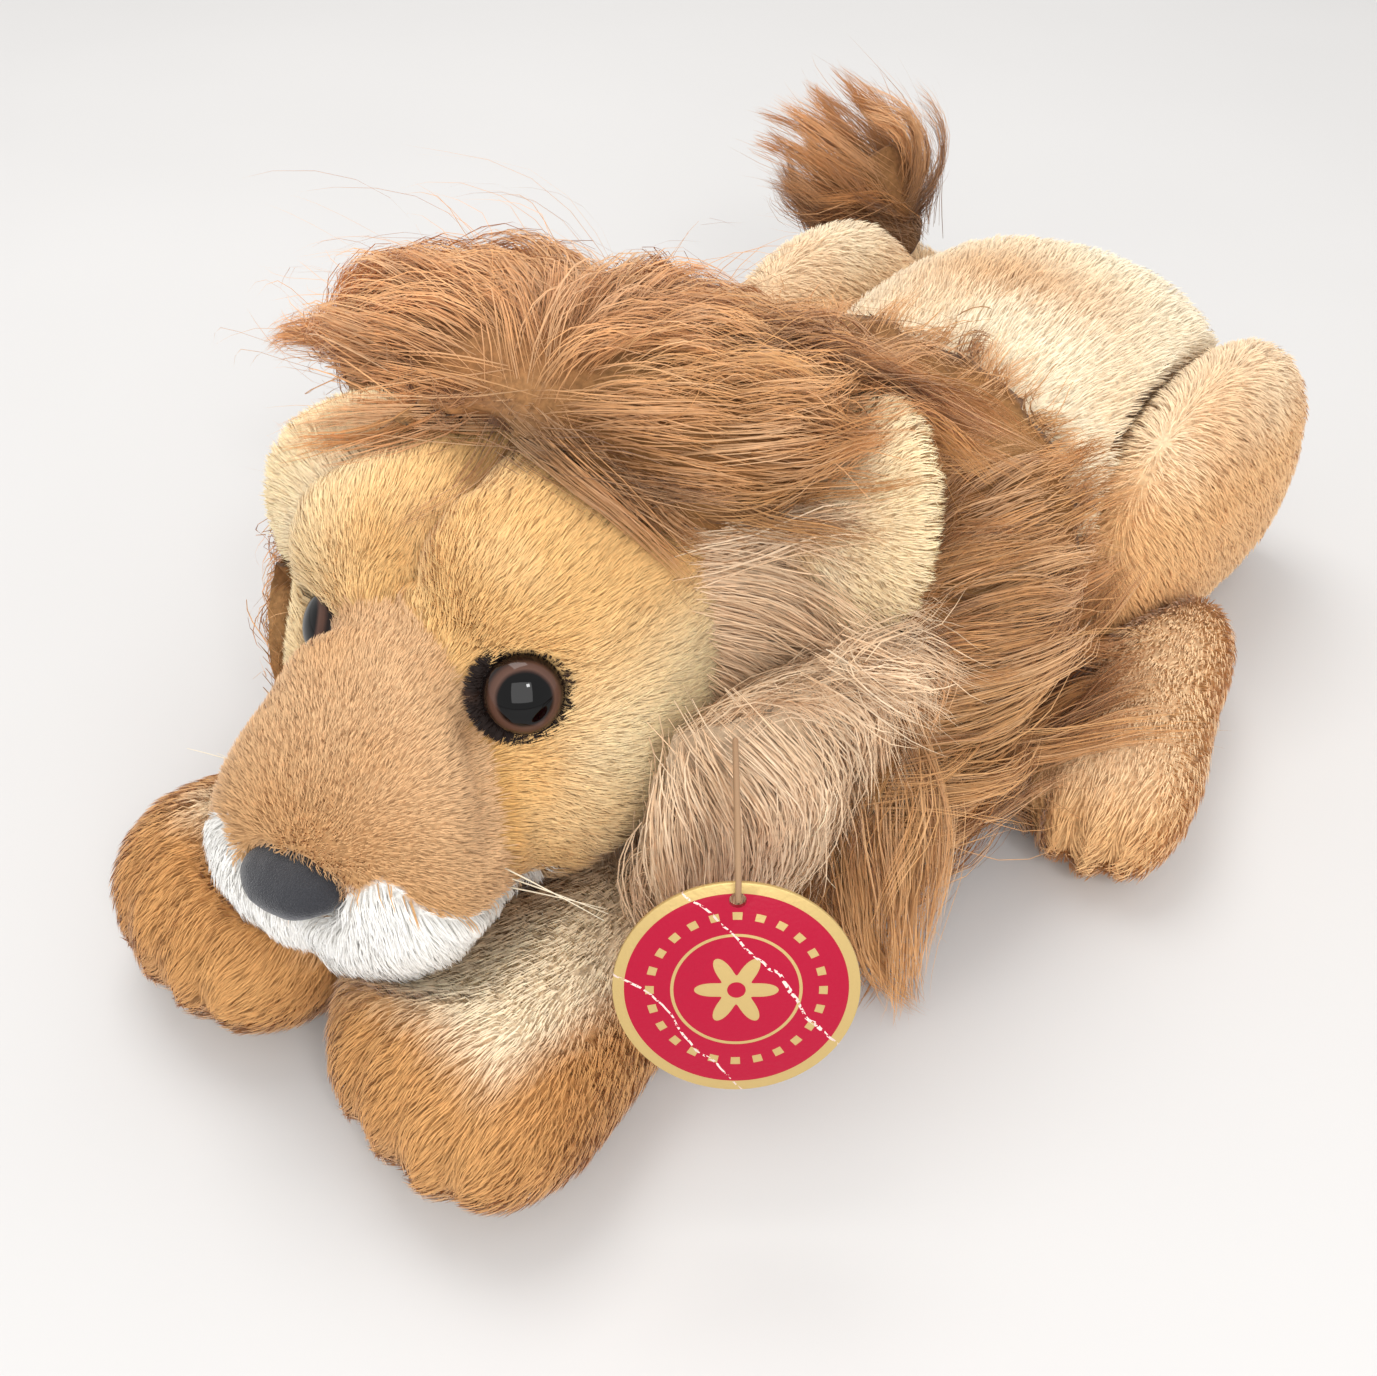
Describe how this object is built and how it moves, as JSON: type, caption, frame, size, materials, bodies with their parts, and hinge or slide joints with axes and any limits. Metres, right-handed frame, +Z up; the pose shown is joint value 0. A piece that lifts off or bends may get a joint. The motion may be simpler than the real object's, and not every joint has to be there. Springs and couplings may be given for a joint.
{
  "type": "plush lion",
  "caption": "Plush lion lying on its belly with stuffed head, legs, long mane, safety eyes, tufted tail and a round hang tag.",
  "frame": {"origin": "on the floor under the belly's flat rest face, on the torso's centre line", "axes": "+Z up from the floor, +Y along the torso towards the tail, so that the lion faces -Y; +X is the lion's left"},
  "size_m": [0.2206, 0.3643, 0.1402],
  "materials": {
    "cream_plush": "short pile plush",
    "gold_plush": "short pile plush",
    "tan_plush": "very short pile plush",
    "paw_plush": "short pile plush",
    "white_plush": "short pile plush",
    "brown_hair": "long pile",
    "dark_hair": "long pile",
    "taupe_hair": "long pile",
    "charcoal_velour": "velour",
    "liner_plush": "short pile plush",
    "brown_plastic": "gloss",
    "clear_plastic": "clear gloss",
    "natural_plastic": "matte",
    "crimson_card": "laminated card with a gold rim",
    "string": "cord",
    "clear_nylon": "nylon thread"
  },
  "bodies": {
    "body": {"torso": "cream_plush", "mane_collar": "brown_hair", "mane_chest": "brown_hair", "cheek_ruff_left": "taupe_hair", "cheek_ruff_right": "taupe_hair"},
    "head_group": {"head": "gold_plush", "muzzle": "tan_plush", "chin": "white_plush", "nose": "charcoal_velour", "mane_crown": "brown_hair", "whiskers_left": "clear_nylon", "whiskers_right": "clear_nylon", "eye_liner_left": "liner_plush", "eye_liner_right": "liner_plush", "eye_base_left": "brown_plastic", "eye_base_right": "brown_plastic", "eye_lens_left": "clear_plastic", "eye_lens_right": "clear_plastic", "eye_washer_left": "natural_plastic", "eye_washer_right": "natural_plastic"},
    "left_ear": {"ear_left": "gold_plush"},
    "right_ear": {"ear_right": "gold_plush"},
    "left_foreleg": {"foreleg_left": "paw_plush"},
    "right_foreleg": {"foreleg_right": "paw_plush"},
    "left_hind_leg": {"thigh_left": "cream_plush", "hind_foot_left": "paw_plush"},
    "right_hind_leg": {"thigh_right": "cream_plush", "hind_foot_right": "paw_plush"},
    "tail": {"tail_stalk": "cream_plush", "tail_tuft": "dark_hair"},
    "tag": {"hang_tag": "crimson_card", "tag_string": "string"}
  },
  "joints": [
    {"name": "head_turn", "type": "hinge", "parent": "body", "child": "head_group", "pos_m": [-0.023, -0.047, 0.068], "axis": [0, 0, 1], "range_deg": [-8, 8], "stiffness_Nm_per_rad": 0.05},
    {"name": "left_ear_flex", "type": "hinge", "parent": "head_group", "child": "left_ear", "pos_m": [0.02534, -0.03366, 0.09756], "axis": [-0.5212, 0.5112, 0.6833], "range_deg": [-8, 8], "stiffness_Nm_per_rad": 0.005},
    {"name": "right_ear_flex", "type": "hinge", "parent": "head_group", "child": "right_ear", "pos_m": [-0.03437, -0.09338, 0.09261], "axis": [-0.3438, -0.5331, -0.773], "range_deg": [-12, 0], "stiffness_Nm_per_rad": 0.005},
    {"name": "left_foreleg_splay", "type": "hinge", "parent": "body", "child": "left_foreleg", "pos_m": [0.03408, -0.06199, 0], "axis": [0, 0, 1], "range_deg": [0, 6], "stiffness_Nm_per_rad": 0.03},
    {"name": "right_foreleg_splay", "type": "hinge", "parent": "body", "child": "right_foreleg", "pos_m": [-0.04016, -0.06798, 0], "axis": [0, 0, 1], "range_deg": [-6, 0], "stiffness_Nm_per_rad": 0.03},
    {"name": "left_hind_leg_splay", "type": "hinge", "parent": "body", "child": "left_hind_leg", "pos_m": [0.054, 0.146, 0], "axis": [0, 0, 1], "range_deg": [0, 10], "stiffness_Nm_per_rad": 0.03},
    {"name": "right_hind_leg_splay", "type": "hinge", "parent": "body", "child": "right_hind_leg", "pos_m": [-0.058, 0.146, 0], "axis": [0, 0, 1], "range_deg": [-10, 0], "stiffness_Nm_per_rad": 0.03},
    {"name": "tail_swing", "type": "hinge", "parent": "body", "child": "tail", "pos_m": [-0.006, 0.15, 0.044], "axis": [0, 0, 1], "range_deg": [-20, 0], "stiffness_Nm_per_rad": 0.01},
    {"name": "tag_swing", "type": "hinge", "parent": "body", "child": "tag", "pos_m": [0.05408, -0.08349, 0.08656], "axis": [0.6364, -0.7068, 0.309], "range_deg": [-12, 12]}
  ]
}
